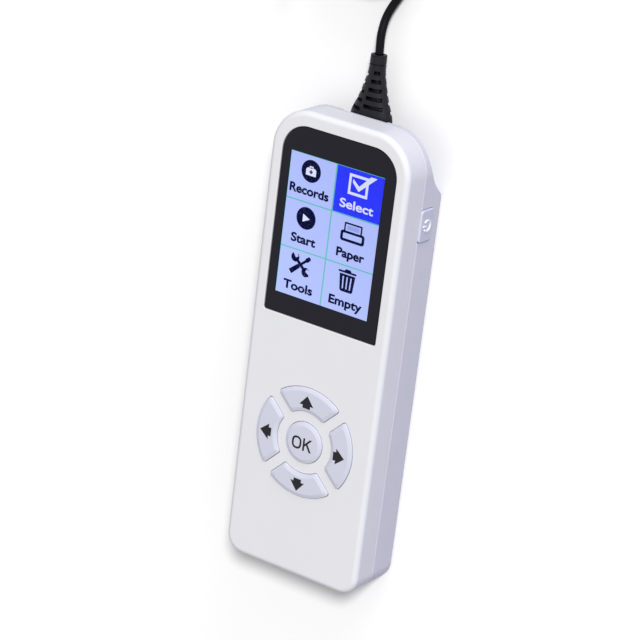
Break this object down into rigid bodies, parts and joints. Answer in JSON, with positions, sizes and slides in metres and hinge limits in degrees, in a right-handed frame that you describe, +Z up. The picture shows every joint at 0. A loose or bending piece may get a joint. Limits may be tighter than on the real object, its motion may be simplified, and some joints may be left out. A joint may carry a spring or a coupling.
{
  "type": "newborn hearing screener",
  "caption": "Handheld hearing screener: a long housing with a display window, a ring of keys round a middle key, a side power button and a corded ear probe.",
  "frame": {"origin": "under the middle of the housing, on the surface that it lies on with its back down", "axes": "+X across the housing towards the power button, +Y along it towards the probe cord, +Z up, out of the face with the display and keys"},
  "size_m": [0.0845, 0.3031, 0.0276],
  "materials": {
    "front_plastic": "satin",
    "rear_plastic": "satin",
    "key_plastic": "satin",
    "window_glass": "polished",
    "display_glass": "gloss",
    "display_metal": "satin",
    "black_tape": "matt",
    "foam": "matt",
    "ribbon_film": "gloss",
    "board": "satin",
    "black_plastic": "satin",
    "plunger_plastic": "satin",
    "steel": "satin",
    "contact_metal": "polished",
    "battery_label": "gloss",
    "cord_rubber": "satin",
    "tie_fabric": "matt",
    "probe_plastic": "satin",
    "tip_rubber": "matt"
  },
  "bodies": {
    "housing": {"front_shell": "front_plastic", "rear_shell": "rear_plastic", "screen_window": "window_glass", "lcd_glass": "display_glass", "lcd_tray": "display_metal", "window_tape": "black_tape", "lcd_foam": "foam", "lcd_ribbon": "ribbon_film", "main_board": "board", "ribbon_connector": "black_plastic", "processor_chip": "black_plastic", "beeper": "black_plastic", "power_switch": "black_plastic", "battery_contacts": "black_plastic", "charge_block": "black_plastic", "probe_socket": "black_plastic", "probe_plug": "black_plastic", "key_up_switch": "black_plastic", "key_right_switch": "black_plastic", "key_down_switch": "black_plastic", "key_left_switch": "black_plastic", "key_ok_switch": "black_plastic", "case_screw_1": "steel", "case_screw_2": "steel", "case_screw_3": "steel", "case_screw_4": "steel", "case_screw_5": "steel", "case_screw_6": "steel", "board_screw_1": "steel", "board_screw_2": "steel", "board_screw_3": "steel", "board_screw_4": "steel", "radio_module": "steel", "clock_cell": "steel", "charge_contact_left": "contact_metal", "charge_contact_right": "contact_metal", "battery_pack": "battery_label", "plug_boot": "cord_rubber", "probe_boot": "cord_rubber", "probe_cord_lead": "cord_rubber", "probe_cord_coil": "cord_rubber", "probe_cord_tail": "cord_rubber", "cord_tie": "tie_fabric", "probe_body": "probe_plastic", "probe_nose": "probe_plastic", "ear_tip": "tip_rubber"},
    "key_up": {"key_up": "key_plastic", "key_up_plunger": "plunger_plastic"},
    "key_right": {"key_right": "key_plastic", "key_right_plunger": "plunger_plastic"},
    "key_down": {"key_down": "key_plastic", "key_down_plunger": "plunger_plastic"},
    "key_left": {"key_left": "key_plastic", "key_left_plunger": "plunger_plastic"},
    "key_ok": {"key_ok": "key_plastic", "key_ok_plunger": "plunger_plastic"},
    "power_button": {"power_button": "key_plastic", "power_plunger": "plunger_plastic"},
    "battery_cover": {"battery_cover": "rear_plastic"}
  },
  "joints": [
    {"name": "key_up_press", "type": "slide", "parent": "housing", "child": "key_up", "axis": [0, 0, -1], "range_m": [0, 0.0005], "stiffness_N_per_m": 2400},
    {"name": "key_right_press", "type": "slide", "parent": "housing", "child": "key_right", "axis": [0, 0, -1], "range_m": [0, 0.0005], "stiffness_N_per_m": 2400},
    {"name": "key_down_press", "type": "slide", "parent": "housing", "child": "key_down", "axis": [0, 0, -1], "range_m": [0, 0.0005], "stiffness_N_per_m": 2400},
    {"name": "key_left_press", "type": "slide", "parent": "housing", "child": "key_left", "axis": [0, 0, -1], "range_m": [0, 0.0005], "stiffness_N_per_m": 2400},
    {"name": "key_ok_press", "type": "slide", "parent": "housing", "child": "key_ok", "axis": [0, 0, -1], "range_m": [0, 0.0005], "stiffness_N_per_m": 2400},
    {"name": "power_press", "type": "slide", "parent": "housing", "child": "power_button", "axis": [-1, 0, 0], "range_m": [0, 0.0005], "stiffness_N_per_m": 2400},
    {"name": "battery_cover_slide", "type": "slide", "parent": "housing", "child": "battery_cover", "axis": [0, -1, 0], "range_m": [0, 0.012]}
  ]
}
